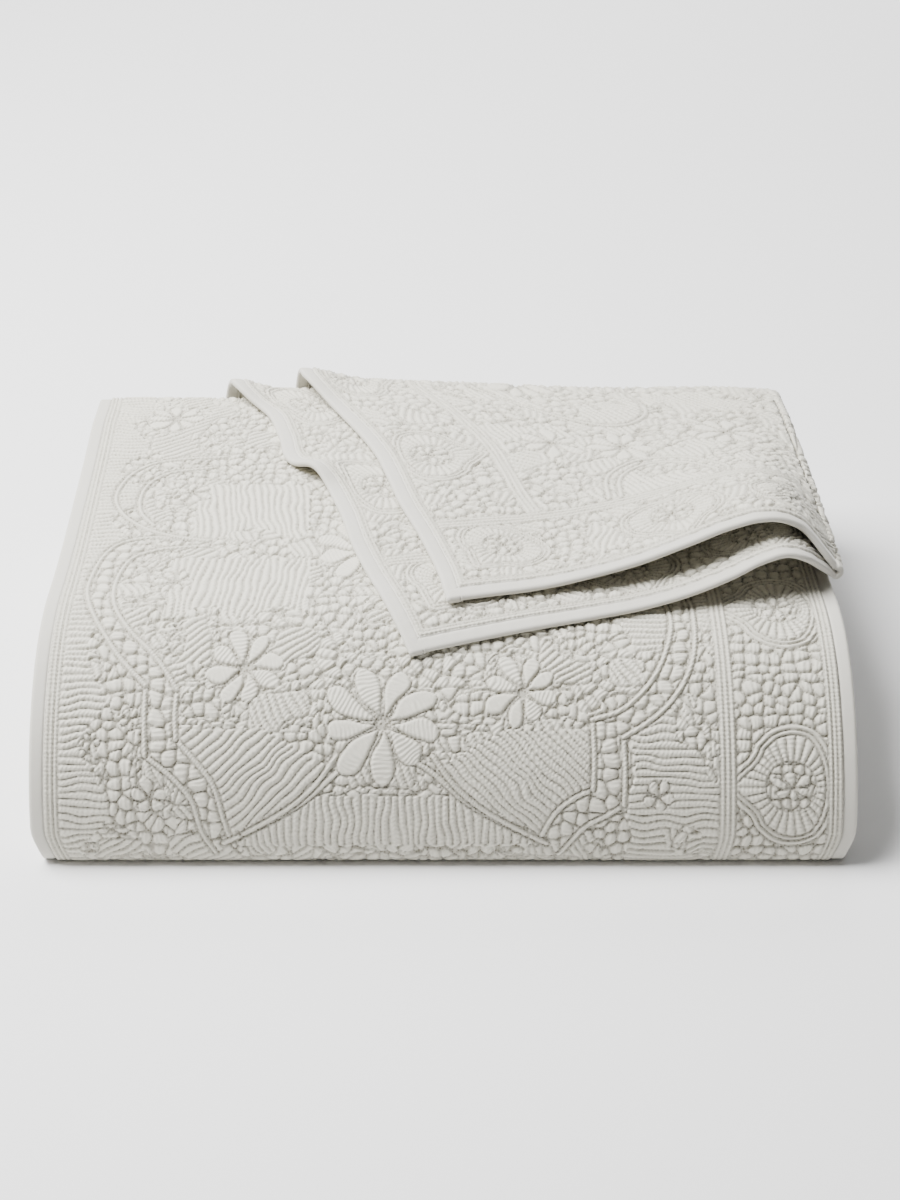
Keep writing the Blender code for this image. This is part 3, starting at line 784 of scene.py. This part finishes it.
face_half = WIDTH / 2 - BINDING_WIDTH + FACE_UNDER_BINDING
cloth_x = np.linspace(-face_half, face_half, 2 * int(face_half / FACE_STEP) + 1)
runs = np.arange(FACE_FOOT_RUN, FACE_BACK_RUN, -FACE_STEP)
flat_x, flat_run = np.meshgrid(cloth_x, runs)
depth, height, away = cover_line(flat_run)
draw_in = smooth_table(depth, WRAP_COLUMNS, WRAP_ROWS, "depth", "draw_in")
drift = smooth_table(depth, WRAP_COLUMNS, WRAP_ROWS, "depth", "drift")
foot = 1.0 - smooth_step(height, 0.002, 2 * FRONT_LOW_HEIGHT)
foot = foot * (depth < 0.05)
draw_in = draw_in + foot * (WRAP_FOOT_DRAW_IN - draw_in)
x = flat_x * (1 - draw_in / (WIDTH / 2)) + drift * (1 - foot)
work = wrap_quilting(flat_x / MM, flat_run / MM)
lift = work.height() - FACE_INSET + FACE_LOWEST
foot_rise = 0.4 + 0.6 * smooth_step(height, 0.0, FRONT_LOW_HEIGHT)
lift = np.where(height < FRONT_LOW_HEIGHT, lift * foot_rise, lift)
places = np.stack([x, depth + away[0] * lift,
                   uneven(height, x, depth) + away[1] * lift], -1)
normals = surface_normals(places)
values = work.stitches()

middle = len(cloth_x) // 2
top_row = int(np.searchsorted(-runs, -FACE_SPLIT_RUN))
EDGE_DEPTHS = (0.075, 0.119, 0.156, 0.206, 0.262, 0.300, 0.335, 0.385, 0.430, 0.470)
LOWER_EDGE_X = (-0.025, -0.043, -0.057, -0.073, -0.086, -0.100, -0.128, -0.140, -0.154,
                -0.183)
seen = x < np.interp(depth, EDGE_DEPTHS, LOWER_EDGE_X) + SEEN_MARGIN
front_left = cut_grid("wrap_front_left", places, normals, values, (0, top_row + 1),
                      (0, middle + 1))
front_right = cut_grid("wrap_front_right", places, normals, values, (0, top_row + 1),
                       (middle, None))
top_face = cut_grid("wrap_top", places, normals, values, (top_row, None), (0, None), seen)

# The loose end of the coverlet: the same cloth, drawn up the back and skew over the top, its
# right half turned over with a soft fold and a raised wave beside it. First the cloth
# itself, then its quilted faces.
FLAP_THICK = 0.0052
LOWER_CORNER = (-0.0251, 0.0750)
UPPER_CORNER = (0.0026, 0.1190)
FOLD_FRONT_X, FOLD_BACK_X = 0.3090, 0.2885
FOLD_FRONT = 0.173
FOLD_CURL = 0.030
FOLD_SHIFT = 0.013
FOLD_BEND = 0.0042
REST_GAP = 0.0018
EDGE_COLUMNS = ("depth", "lower_x", "upper_x")
EDGE_ROWS = (
    (0.075, -0.0251, 0.0160),
    (0.119, -0.0425, 0.0026),
    (0.156, -0.0567, -0.0050),
    (0.206, -0.0725, -0.0190),
    (0.262, -0.0860, -0.0375),
    (0.300, -0.1000, -0.0470),
    (0.335, -0.1275, -0.0565),
    (0.385, -0.1400, -0.0775),
    (0.430, -0.1540, -0.1010),
    (0.470, -0.1830, -0.1235),
    (0.560, -0.2000, -0.1400),
    (0.700, -0.2050, -0.1450),
)
BACK_CORNER = 0.020
BACK_WALL = STACK_BACK + 0.0006
SLOT_BEND = 0.0018
TUCK_LENGTH = 0.058
WAVE_COLUMNS = ("from_fold", "lower_lift", "upper_lift")
WAVE_ROWS = (
    (0.0000, 0.0000, 0.0000),
    (0.0125, 0.0125, 0.0160),
    (0.0240, 0.0242, 0.0290),
    (0.0400, 0.0315, 0.0390),
    (0.0620, 0.0280, 0.0425),
    (0.0840, 0.0190, 0.0385),
    (0.1200, 0.0080, 0.0265),
    (0.1550, 0.0020, 0.0150),
    (0.1950, 0.0000, 0.0060),
    (0.2500, 0.0000, 0.0000),
)
WAVE_BACK = 0.10
WAVE_FADE = 0.22
BUMP_ROWS = (   # cloth, x, depth, spread in x and in depth, lift
    ("lower", -0.108, 0.312, 0.022, 0.020, 0.0105),
    ("lower", -0.183, 0.468, 0.025, 0.032, 0.0105),
    ("upper", -0.122, 0.465, 0.034, 0.038, 0.0120),
)


def rest_line():
    depth, height = front_outline(np.linspace(math.pi / 2 - 0.25, 0.0, 120))
    fold = len(depth)
    steps = np.linspace(FRONT_DEPTH, BACK_WALL - BACK_CORNER, 120)[1:]
    turn = np.linspace(0.0, math.pi / 2, 40)[1:]
    slot = layer_height(BACK_LAYER) + FLAP_THICK / 2 + REST_GAP
    tuck = np.linspace(0.0, math.pi / 2, 12)
    depth = np.concatenate([
        depth, steps, BACK_WALL - BACK_CORNER + BACK_CORNER * np.sin(turn),
        BACK_WALL - SLOT_BEND * (1 - np.cos(tuck)), [BACK_WALL - SLOT_BEND - TUCK_LENGTH]])
    height = np.concatenate([
        height, np.full(len(steps), BUNDLE_HEIGHT),
        BUNDLE_HEIGHT - BACK_CORNER + BACK_CORNER * np.cos(turn),
        slot + SLOT_BEND * (1 - np.sin(tuck)), [slot]])
    run = np.concatenate([[0.0], np.cumsum(np.hypot(np.diff(depth), np.diff(height)))])
    off_depth, off_height = offset_line(depth, height, 1.0)
    run += FRONT_DEPTH - np.interp(FRONT_DEPTH, depth[:fold], run[:fold])
    return run, depth, height, off_depth - depth, off_height - height


REST_LINE = rest_line()
RUN_END = REST_LINE[0][-1]
RUN_CORNER = BACK_WALL - BACK_CORNER
RUN_WALL = RUN_CORNER + BACK_CORNER * math.pi / 2
LOWER_WIDTH = FOLD_FRONT_X - FOLD_BEND - LOWER_CORNER[0]
UPPER_WIDTH = FOLD_FRONT_X - FOLD_BEND - UPPER_CORNER[0]
FLAP_LENGTH = RUN_CORNER - FOLD_FRONT


def bump_lift(cloth, x, depth):
    lift = np.zeros(np.shape(x))
    for which, at_x, at_depth, spread_x, spread_depth, rise in BUMP_ROWS:
        if which == cloth:
            lift = lift + rise * np.exp(-((x - at_x) / spread_x) ** 2
                                        - ((depth - at_depth) / spread_depth) ** 2)
    return lift


def fold_x(run):
    share = np.clip((run - FOLD_FRONT) / (RUN_WALL - FOLD_FRONT), 0.0, 1.0)
    return FOLD_FRONT_X + (FOLD_BACK_X - FOLD_FRONT_X) * share


def wave(run, front, x, name):
    fade = WAVE_BACK + (1 - WAVE_BACK) * (1 - smooth_step(run - front, 0.0, WAVE_FADE))
    fade = fade * (1 - smooth_step(run, RUN_CORNER - 0.01, RUN_WALL))
    return fade * smooth_table(fold_x(run) - x, WAVE_COLUMNS, WAVE_ROWS, "from_fold", name)


def flap_place(x, run, lift):
    runs, depth, height, off_depth, off_height = REST_LINE
    base_depth, base_height, out_depth, out_height = (
        np.interp(run, runs, values) for values in (depth, height, off_depth, off_height))
    length = np.hypot(out_depth, out_height)
    z = uneven(base_height, x, base_depth) + out_height / length * lift
    return np.stack([x, base_depth + out_depth / length * lift, z], -1)


def flap_run(front, along):
    top = front + along * FLAP_LENGTH + along ** 2 * (RUN_CORNER - front - FLAP_LENGTH)
    return np.where(along <= 1.0, top, RUN_CORNER + (along - 1.0) * (RUN_END - RUN_CORNER))


def flap_half(share, along, upper):
    """The lower or the upper half, from its side edge at 0 to the turned fold at 1."""
    corner, shift = (UPPER_CORNER, FOLD_SHIFT) if upper else (LOWER_CORNER, -FOLD_SHIFT)
    edge_run = flap_run(corner[1], along)
    edge_x = smooth_table(edge_run, EDGE_COLUMNS, EDGE_ROWS, "depth",
                          "upper_x" if upper else "lower_x")
    width = fold_x(flap_run(FOLD_FRONT, along)) - FOLD_BEND - edge_x
    front_width = FOLD_FRONT_X - FOLD_BEND - corner[0]
    x = edge_x + share * front_width + share ** 2 * (width - front_width)
    front = corner[1] + share * (FOLD_FRONT + shift - corner[1])
    front = front - shift * smooth_step(x, FOLD_FRONT_X - FOLD_BEND - FOLD_CURL,
                                        FOLD_FRONT_X - FOLD_BEND)
    run = flap_run(front, along)
    lower_rest = REST_GAP + FLAP_THICK / 2
    lift = wave(run, front, x + FOLD_BEND, "lower_lift") + bump_lift("lower", x, run)
    if not upper:
        return flap_place(x, run, lower_rest + lift)
    lift = np.maximum(lift, wave(run, front, x + FOLD_BEND, "upper_lift"))
    return flap_place(x, run, lower_rest + 2 * FOLD_BEND + lift + bump_lift("upper", x, run))


def flap_places(across, along):
    """Middle of the loose end's cloth: 0 to 1 the lower half, to 2 the fold, to 3 the upper."""
    across, along = np.broadcast_arrays(across, along)
    lower = flap_half(np.clip(across, 0, 1), along, False)
    upper = flap_half(np.clip(3.0 - across, 0, 1), along, True)
    turn = (np.clip(across, 1, 2) - 1.0) * math.pi
    run = flap_run(FOLD_FRONT, along)
    rest = REST_GAP + FLAP_THICK / 2
    bend = flap_place(fold_x(run) - FOLD_BEND + FOLD_BEND * np.sin(turn), run,
                      rest + FOLD_BEND * (1 - np.cos(turn)))
    return np.where((across <= 1)[..., None], lower,
                    np.where((across >= 2)[..., None], upper, bend))


def flap_sheet(across, along):
    """Places and normals, the normals on the side that faces up on the lower half."""
    across, along = np.meshgrid(across, along)
    step = 1e-4
    places = flap_places(across, along)
    side = (flap_places(np.minimum(across + step, 3.0), along)
            - flap_places(np.maximum(across - step, 0.0), along))
    back = (flap_places(across, np.minimum(along + step, 2.0))
            - flap_places(across, np.maximum(along - step, 0.0)))
    normals = np.cross(side, back)
    return places, normals / np.linalg.norm(normals, axis=-1, keepdims=True)


def flap_rows(start, end, step):
    top = np.linspace(start, 1.0, int(FLAP_LENGTH * 1.2 / step))
    tail = RUN_END - RUN_CORNER
    rest = 1.0 + np.arange(step, tail, step) / tail
    return np.concatenate([top, rest[rest < end], [end]])


edge = BINDING_WIDTH + BINDING_GAP
across = np.concatenate([np.linspace(edge / LOWER_WIDTH, 1.0, 44), np.linspace(1, 2, 9)[1:],
                         np.linspace(2.0, 3.0 - edge / UPPER_WIDTH, 44)[1:]])
places, normals = flap_sheet(across, flap_rows(edge / FLAP_LENGTH, 2.0, 0.007))
half = np.full(places.shape[:2], FLAP_THICK / 2 - FACE_INSET)
loose_end = closed_sheet("loose_end", places, normals, half, half, quilted_body_cotton)
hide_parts("coverlet_cloth")

# The quilted faces of the loose end: the upper side of its lower half, which shows beside
# the turned part, and the other side of the cloth on the turned half. Shells and small
# flowers fill its border inside four corded lines.
FLAP_CORDS = (92.0, 96.0, 100.0, 104.0)
FLAP_EDGE_LINES = (3.0, 5.5)
FLAP_FLOWERS = ((205, 200, 9), (150, 215, 6), (300, 210, 8), (190, 330, 8))
LOWER_FACE_STEP, TURNED_FACE_STEP = 0.00115, 0.00135
FACE_ALONG_END = 1.75       # 1 is the back of the top, 2 the end of the tuck
STRIP_SHARE = 0.26          # of the lower half, as much as shows beside the turned half
FLAP_SHELLS = (   # from the side edge, from the front edge, point in degrees, size
    (56, 60, 45, 0.80),
    (48, 205, 180, 0.92),
    (48, 352, 180, 0.86),
    (190, 50, 90, 0.86),
    (286, 46, 90, 0.78),
)
FIELD_LOOPS = (
    ((160, 108), (176, 150), (210, 172), (246, 160), (262, 126), (258, 108)),
    ((148, 330), (176, 270), (220, 240), (262, 262), (280, 320), (262, 380)),
    ((170, 108), (184, 143), (211, 161), (239, 151), (252, 122), (249, 108)),
)


def flap_cut(share, along, upper):
    """Distances in mm in the flat cloth from its side edge and from its front edge."""
    corner = UPPER_CORNER if upper else LOWER_CORNER
    past = np.maximum(share - 1.0, 0.0) * math.pi * FOLD_BEND
    share = np.minimum(share, 1.0)
    front = corner[1] + share * (FOLD_FRONT - corner[1])
    edge_x = smooth_table(flap_run(corner[1], along), EDGE_COLUMNS, EDGE_ROWS, "depth",
                          "upper_x" if upper else "lower_x")
    width = fold_x(flap_run(FOLD_FRONT, along)) - FOLD_BEND - edge_x
    front_width = FOLD_FRONT_X - FOLD_BEND - corner[0]
    from_side = share * front_width + share ** 2 * (width - front_width) + past
    return from_side / MM, (flap_run(front, along) - front) / MM


def flap_quilting(from_side, from_front, seed):
    work = Quilting(from_side, from_front, seed)
    field = (work.x > FLAP_CORDS[-1]) & (work.y > FLAP_CORDS[-1])
    work.rows(field & (soft_noise(work.x, work.y, 24, seed + 4) > 0.60), 84)
    for path in FIELD_LOOPS:
        work.outline(path, field)
    for x, y, petals in FLAP_FLOWERS:
        work.flower(x, y, petals, 26, 7.5, 12)
    for place in FLAP_SHELLS:
        work.shell(*place)
    for one, other in ((work.x, work.y), (work.y, work.x)):
        inside = other > FLAP_CORDS[0] if one is work.x else other > 0
        band = (one > FLAP_CORDS[0]) & (one < FLAP_CORDS[-1]) & inside
        work.fill(band, NO_LINE, other)
        for at in FLAP_CORDS:
            work.line(np.abs(one - at), inside & (np.abs(one - at) < 6))
    edge = np.minimum(work.x, work.y) - BINDING_WIDTH / MM
    work.fill(edge < FLAP_EDGE_LINES[-1], NO_LINE, np.maximum(work.x, work.y))
    work.cords(edge, (BINDING_LINE,) + FLAP_EDGE_LINES)
    return work


def flap_face(name, across, along, upper, keep=None):
    """A quilted face on one half of the loose end, on its outer side."""
    places, normals = flap_sheet(across, along)
    if upper:
        normals = -normals
    a, b = np.meshgrid(across, along)
    work = flap_quilting(*flap_cut(3.0 - a if upper else a, b, upper), 3 if upper else 5)
    lift = FLAP_THICK / 2 - FACE_INSET + FACE_LOWEST + work.height()
    places = places + normals * lift[..., None]
    shading = surface_normals(places)
    if upper:
        places, shading, a, b = places[:, ::-1], -shading[:, ::-1], a[:, ::-1], b[:, ::-1]
        values = work.stitches()[:, ::-1]
    else:
        values = work.stitches()
    return cut_grid(name, places, shading, values, (0, None), (0, None),
                    None if keep is None else keep(a, b))


first = (BINDING_WIDTH - FACE_UNDER_BINDING) / LOWER_WIDTH
first_row = (BINDING_WIDTH - FACE_UNDER_BINDING) / FLAP_LENGTH
across = np.arange(first, 1.03, LOWER_FACE_STEP / LOWER_WIDTH)
lower_rows = flap_rows(first_row, FACE_ALONG_END, LOWER_FACE_STEP)
lower_face = flap_face("loose_end_lower_face", across, lower_rows, False,
                       lambda a, b: (a < STRIP_SHARE) | (b < STRIP_SHARE))
last = 3.0 - (BINDING_WIDTH - FACE_UNDER_BINDING) / UPPER_WIDTH
across = np.concatenate([np.linspace(0.985, 2.0, 24)[:-1],
                         np.arange(2.0, last, TURNED_FACE_STEP / UPPER_WIDTH), [last]])
turned_rows = flap_rows(first_row, FACE_ALONG_END, TURNED_FACE_STEP)
turned_face = flap_face("loose_end_turned_face", across, turned_rows, True)

# The bindings: straight strips of plain white cotton, folded over the cut edges of the
# coverlet and topstitched. They are smooth and rounded, a little fuller than the cloth.
BINDING_HALF = 0.0026
BINDING_STITCH = 0.0107     # from the outer edge to the topstitching
BINDING_PROFILE = (0.0, 0.00015, 0.0005, 0.0011, 0.0019, 0.0030, 0.0050, 0.0072, 0.0090,
                   0.0100, 0.0104, 0.0107, 0.0110, 0.0115, 0.0120)
BINDING_LOOK = {"Roughness": 0.88, "Sheen Weight": 0.3, "Sheen Roughness": 0.4,
                "Specular IOR Level": 0.2}
BINDING_TONES = ((0.60, 0.58, 0.515, 1.0), (0.64, 0.62, 0.56, 1.0))


def binding_half(across, along):
    """Half thickness of a binding from the distance to its outer edge and along it."""
    round_edge = np.sqrt(1.0 - np.clip(1.0 - across / BINDING_HALF, 0.0, 1.0) ** 2)
    groove = 0.35 * np.exp(-((across - BINDING_STITCH) / 0.0006) ** 2)
    gather = 0.06 * np.cos(along / 0.0023 + 3.0 * soft_noise(along / MM, along, 9, 5))
    gather = gather * smooth_step(across, 0.003, BINDING_STITCH)
    slow = 0.10 * (soft_noise(along / MM, across / MM, 14, 12) - 0.5)
    return BINDING_HALF * np.maximum(round_edge * (1.0 + gather + slow) - groove, 0.02)


def binding_cotton():
    """Smooth white cotton with a fine weave and a few soft creases."""
    material, tree, shader, place, colour = plain_cotton(
        "plain_binding_cotton", BINDING_LOOK, BINDING_TONES, 30.0)
    tree.links.new(colour, shader.inputs["Base Color"])
    normal = relief(tree, noise(tree, place, 1100.0, 2.0), 0.25, 0.0003)
    normal = relief(tree, noise(tree, place, 120.0, 2.0), 0.35, 0.0008, normal)
    tree.links.new(normal, shader.inputs["Normal"])
    return material


binding_finish = binding_cotton()


def binding_piece(name, places, normals, across, along, corner=1.0):
    """A binding from its grid and the distances across it and along it."""
    half = binding_half(*np.broadcast_arrays(across, along)) * corner
    piece = closed_sheet(name + "_strip", places, normals, half, half, binding_finish)
    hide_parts(name)
    return piece


def ran(places):
    """Distance along a binding, from its grid of rows along it."""
    line = places[:, len(BINDING_PROFILE) // 2]
    return np.concatenate([[0.0], np.cumsum(np.linalg.norm(np.diff(line, axis=0), axis=1))])


profile = np.array(BINDING_PROFILE)
for name, side in (("side_binding_left", -1.0), ("side_binding_right", 1.0)):
    across = profile if side < 0 else profile[::-1]

    def strip_x(draw_in, drift):
        return side * (WIDTH / 2 - draw_in - across) + drift

    places, normals = section_places(section, strip_x)
    binding_piece(name, places, normals, across[None, :],
                                       ran(places)[:, None])

rows = flap_rows(0.0, 1.80, 0.003)
places, normals = flap_sheet(profile / LOWER_WIDTH, rows)
lower_binding = binding_piece("lower_edge_binding", places, normals, profile[None, :],
                              ran(places)[:, None])
across = profile[::-1]
places, normals = flap_sheet(3.0 - across / UPPER_WIDTH, rows)
upper_binding = binding_piece("upper_edge_binding", places, normals, across[None, :],
                              ran(places)[:, None])
around = np.concatenate([np.linspace(0.0, 1.0, 150), np.linspace(1, 2, 14)[1:],
                         np.linspace(2.0, 3.0, 140)[1:]])
places, normals = flap_sheet(around, profile / FLAP_LENGTH)
corner = np.minimum(around * LOWER_WIDTH, (3.0 - around) * UPPER_WIDTH)
corner = np.sqrt(1.0 - np.clip(1.0 - corner / BINDING_HALF, 0.0, 0.98) ** 2)
end_binding = binding_piece("loose_end_binding", places, normals, profile[:, None],
                            ran(places.transpose(1, 0, 2))[None, :], corner[None, :])

# The floor and the light of the studio: a plain white table, one big soft light above on the
# left, and a second one for the backdrop.
FLOOR_SIZE = 14.0
FLOOR_PLACE = (0.0, 2.0, -0.0002)
FLOOR_WHITE = (0.9, 0.9, 0.9, 1.0)
AIR_LIGHT = 0.10
CAMERA_PLACE = (0.00365, -1.89234582, 1.2169544)
CAMERA_TILT = 59.0          # degrees from straight down
CAMERA_LENS, CAMERA_SENSOR = 81.0, 36.0
bpy.ops.mesh.primitive_plane_add(size=FLOOR_SIZE, location=FLOOR_PLACE)
floor = bpy.context.object
floor.name = "studio_floor"
floor_paint = bpy.data.materials.new("studio_floor_white")
floor_paint.use_nodes = True
floor_shader = floor_paint.node_tree.nodes["Principled BSDF"]
floor_shader.inputs["Base Color"].default_value = FLOOR_WHITE
floor_shader.inputs["Roughness"].default_value = 1.0
floor.data.materials.append(floor_paint)

LIGHTS = (   # name, place, target, size, watts
    ("soft_box_above", (-1.25, 0.16, 2.3), (0.0, 0.0, 0.05), 1.7, 248.0),
    ("soft_box_backdrop", (0.4, 3.3, 2.4), (0.4, 3.4, 0.0), 2.4, 150.0),
)
for name, place, target, size, watts in LIGHTS:
    lamp = bpy.data.lights.new(name, "AREA")
    lamp.size = size
    lamp.energy = watts
    holder = bpy.data.objects.new(name, lamp)
    holder.location = place
    aim = np.subtract(target, place)
    yaw = math.atan2(aim[0], -aim[1])
    tilt = math.acos(-aim[2] / np.linalg.norm(aim))
    holder.rotation_euler = (tilt, 0.0, yaw + math.pi)
    bpy.context.scene.collection.objects.link(holder)
world = bpy.data.worlds.new("studio_air")
world.use_nodes = True
air = world.node_tree.nodes["Background"]
air.inputs["Color"].default_value = (1.0, 1.0, 1.0, 1.0)
air.inputs["Strength"].default_value = AIR_LIGHT
bpy.context.scene.world = world

lens = bpy.data.cameras.new("studio_camera")
lens.lens = CAMERA_LENS
lens.sensor_width = CAMERA_SENSOR
camera = bpy.data.objects.new("studio_camera", lens)
camera.location = CAMERA_PLACE
camera.rotation_euler = (math.radians(CAMERA_TILT), 0.0, 0.0)
bpy.context.scene.collection.objects.link(camera)
bpy.context.scene.camera = camera
